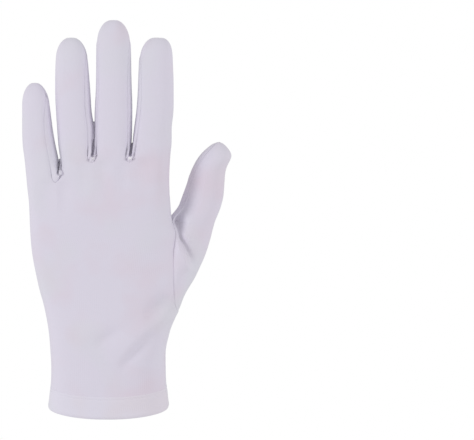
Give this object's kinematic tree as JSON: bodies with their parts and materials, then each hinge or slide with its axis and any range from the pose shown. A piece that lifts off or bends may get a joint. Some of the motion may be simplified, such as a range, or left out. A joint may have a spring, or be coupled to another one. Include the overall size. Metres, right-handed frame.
{
  "type": "white parade glove",
  "caption": "White dress glove for the left hand in its worn shape, with four fingers, a set-in thumb, finger side strips and a narrow hem round the open wrist.",
  "frame": {"origin": "middle of the wrist opening, level with the lowest point of the hem", "axes": "+Z from the wrist to the fingertips, -Y out of the back of the hand, +X towards the thumb"},
  "size_m": [0.1209, 0.0446, 0.2308],
  "materials": {
    "cloth": "matt",
    "hem_cloth": "matt"
  },
  "bodies": {
    "root": {"back_panel": "cloth", "palm_panel": "cloth", "fourchette_index_middle": "cloth", "fourchette_middle_ring": "cloth", "fourchette_ring_little": "cloth", "thumb": "cloth", "hem": "hem_cloth"}
  },
  "joints": []
}
